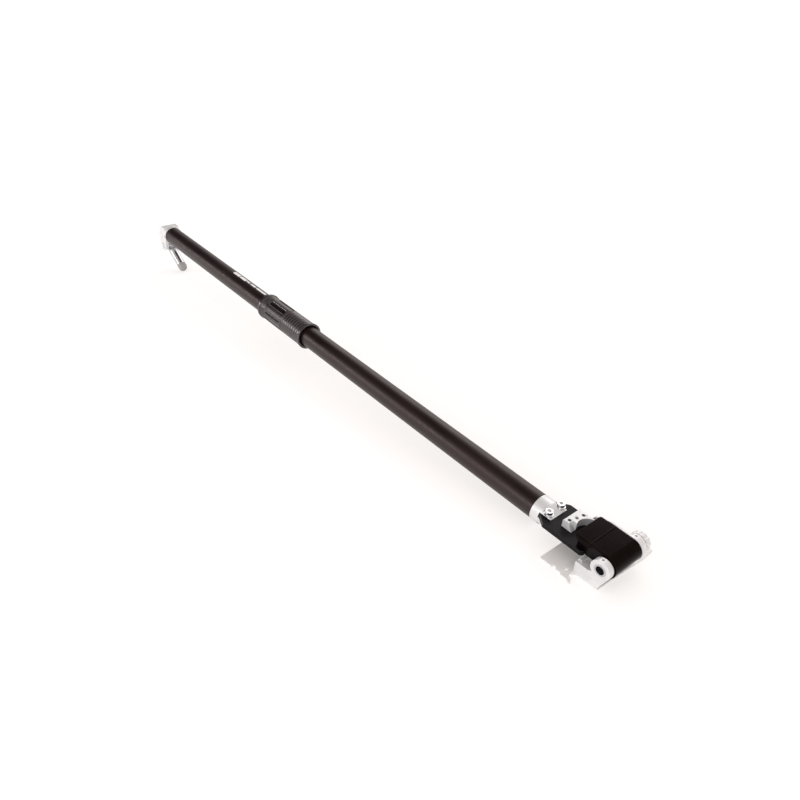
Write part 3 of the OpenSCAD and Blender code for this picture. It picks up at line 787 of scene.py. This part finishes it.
def floor_finish():
    """White sheet for matt surfaces, part glow for the camera and for reflections."""
    material = bpy.data.materials.new("floor_sheet")
    material.use_nodes = True
    tree = material.node_tree
    tree.nodes.clear()
    out = tree.nodes.new("ShaderNodeOutputMaterial")
    sheet = add(tree, "ShaderNodeBsdfDiffuse", {"Color": (0.86, 0.86, 0.87, 1)})
    glow = add(tree, "ShaderNodeEmission", {
        "Color": (1.0, 0.965, 0.945, 1), "Strength": glow_strength})
    place = add(tree, "ShaderNodeTexCoord")
    away = add(tree, "ShaderNodeVectorMath", {
        0: place.outputs["Object"], 1: (pole_middle, 0, 0)}, operation="DISTANCE")
    glow_share = between(tree, away.outputs["Value"], glow_grows_from, glow_alone_from,
                         near_glow, 1.0, smooth=True)
    share = combine(tree, sees_the_background(tree), glow_share, "MULTIPLY")
    mixed = add(tree, "ShaderNodeMixShader", {0: share, 1: sheet.outputs[0], 2: glow.outputs[0]})
    tree.links.new(mixed.outputs[0], out.inputs["Surface"])
    return material


half_floor = 60.0
floor_gap = 0.1 * mm
floor_mesh = bpy.data.meshes.new("floor")
floor_mesh.from_pydata(
    [(-half_floor, -half_floor, 0), (half_floor, -half_floor, 0), (half_floor, half_floor, 0),
     (-half_floor, half_floor, 0)], [], [(0, 1, 2, 3)])
floor_mesh.materials.append(floor_finish())
floor = bpy.data.objects.new("floor", floor_mesh)
floor.location.z = frame_box[0].z - floor_gap
bpy.context.scene.collection.objects.link(floor)
print("floor lies", round(floor.location.z / mm, 2), "mm from the frame's zero")

# %% [markdown]
# ## The room
# The room is pale all round, but reflections also find a dark card high over the far end. It draws
# the dark band along the top of the tubes, as a black board held over them would, and it takes no
# light away from matt surfaces. Past the sheet's edge the camera sees plain white.

# %% Room
room = bpy.data.worlds.new("room")
bpy.context.scene.world = room
room.use_nodes = True
sky = room.node_tree
sky.nodes.clear()
direction = add(sky, "ShaderNodeTexCoord")
card_direction = Vector((0.69, 0.17, 0.70)).normalized()
towards_card = add(sky, "ShaderNodeVectorMath", {
    0: direction.outputs["Generated"], 1: card_direction}, operation="DOT_PRODUCT")
card = between(sky, towards_card.outputs["Value"], 0.66, 0.95, 0, 1, smooth=True)
paths = add(sky, "ShaderNodeLightPath")
card_seen = combine(sky, card, paths.outputs["Is Glossy Ray"], "MULTIPLY")
room_tone = blend_colours(sky, card_seen, (0.84, 0.79, 0.765, 1), (0.02, 0.010, 0.010, 1))
lit = add(sky, "ShaderNodeBackground", {"Color": room_tone, "Strength": 1.0})
white = add(sky, "ShaderNodeBackground", {"Color": (1, 1, 1, 1), "Strength": 1.0})
seen = add(sky, "ShaderNodeMixShader", {
    0: paths.outputs["Is Camera Ray"], 1: lit.outputs[0], 2: white.outputs[0]})
sky_out = sky.nodes.new("ShaderNodeOutputWorld")
sky.links.new(seen.outputs[0], sky_out.inputs["Surface"])
# sampled as a light, the room would show rough reflections its pale tone in place of the card
room.cycles.sampling_method = "NONE"
print("room has", len(sky.nodes), "nodes")

# %% [markdown]
# ## The panels
# A broad soft panel and a long, narrow one stand on the near side and draw the pale band along the
# lower flank of the tubes. A third panel stands behind and lights the surfaces that face away.

# %% Panels
def soft_panel(name, where, aim, width, height, power, tint=(1, 1, 1)):
    """A soft light of a width and height, aimed at a point."""
    lamp = bpy.data.lights.new(name, "AREA")
    lamp.shape = "RECTANGLE"
    lamp.size = width
    lamp.size_y = height
    lamp.energy = power
    lamp.color = tint
    made = bpy.data.objects.new(name, lamp)
    made.location = where
    made.rotation_mode = "QUATERNION"
    made.rotation_quaternion = (Vector(aim) - Vector(where)).to_track_quat("-Z", "Y")
    bpy.context.scene.collection.objects.link(made)
    return made


soft_panel("near_panel", (-0.3, 2.2, 1.0), aim=(0.3, 0, 0), width=2.6, height=1.4, power=17,
           tint=(0.94, 0.98, 1.0))
soft_panel("strip_panel", (1.9, 1.75, 0.62), aim=(0.5, 0, 0.05), width=2.0, height=0.22, power=12)
soft_panel("back_panel", (1.5, -2.2, 1.6), aim=(0.6, 0, 0), width=3.2, height=1.2, power=20)
print("three panels stand round the pole")

# %% [markdown]
# ## The frame's box
# Last, the box of the frame is printed.

# %% Finish
print("frame box", [round(v, 4) for corner in frame_box for v in corner])
